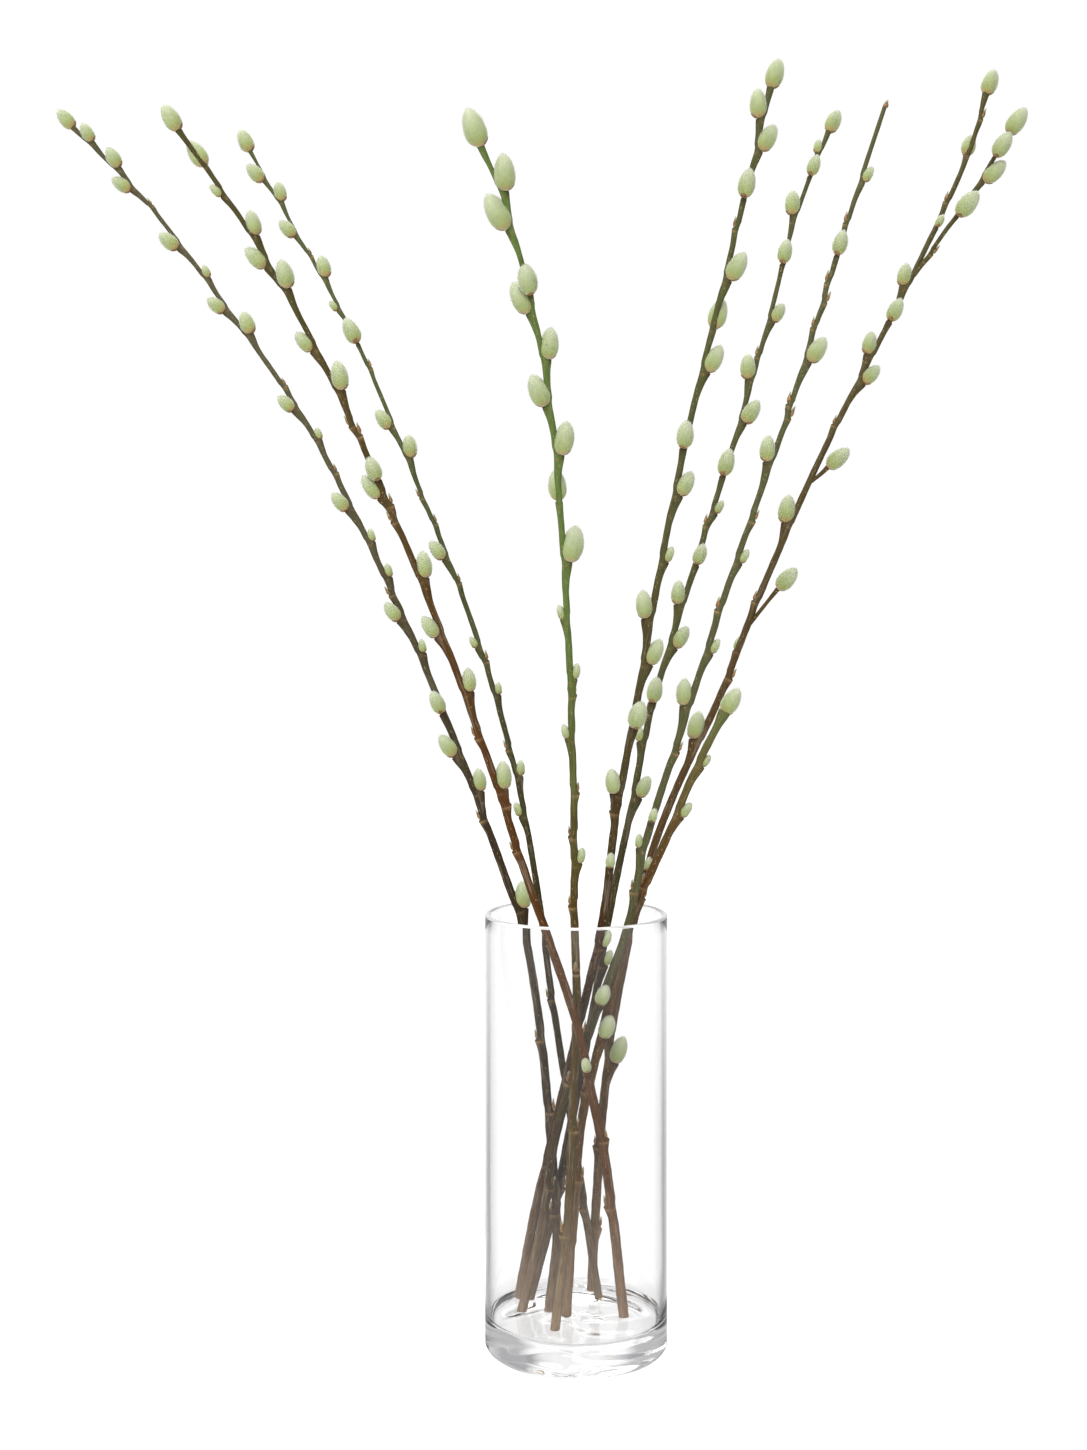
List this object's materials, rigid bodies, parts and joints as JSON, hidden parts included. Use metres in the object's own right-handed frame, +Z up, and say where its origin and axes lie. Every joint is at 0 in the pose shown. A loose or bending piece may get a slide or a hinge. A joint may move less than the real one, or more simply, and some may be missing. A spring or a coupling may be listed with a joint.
{
  "type": "pussy willow stems in a glass vase",
  "caption": "Cut pussy willow stems with soft green catkins, splayed out of a tall clear glass cylinder vase.",
  "frame": {"origin": "centre of the vase's flat underside", "axes": "+Z up along the vase's axis; -Y is the side that faces the viewer, +X is the viewer's right"},
  "size_m": [0.7225, 0.4129, 0.9136],
  "materials": {
    "vase_glass": "clear, polished",
    "willow_bark": "smooth satin bark, olive green above and brown below",
    "catkin_silk": "soft silky hairs, pale green",
    "bud_scale": "dry satin bud scales, reddish brown"
  },
  "bodies": {
    "root": {"vase": "vase_glass", "stem_far_left": "willow_bark", "stem_left": "willow_bark", "stem_inner_left": "willow_bark", "stem_centre": "willow_bark", "stem_inner_right": "willow_bark", "stem_middle_right": "willow_bark", "stem_bare_tip": "willow_bark", "stem_forked": "willow_bark", "stem_short": "willow_bark"}
  },
  "joints": []
}
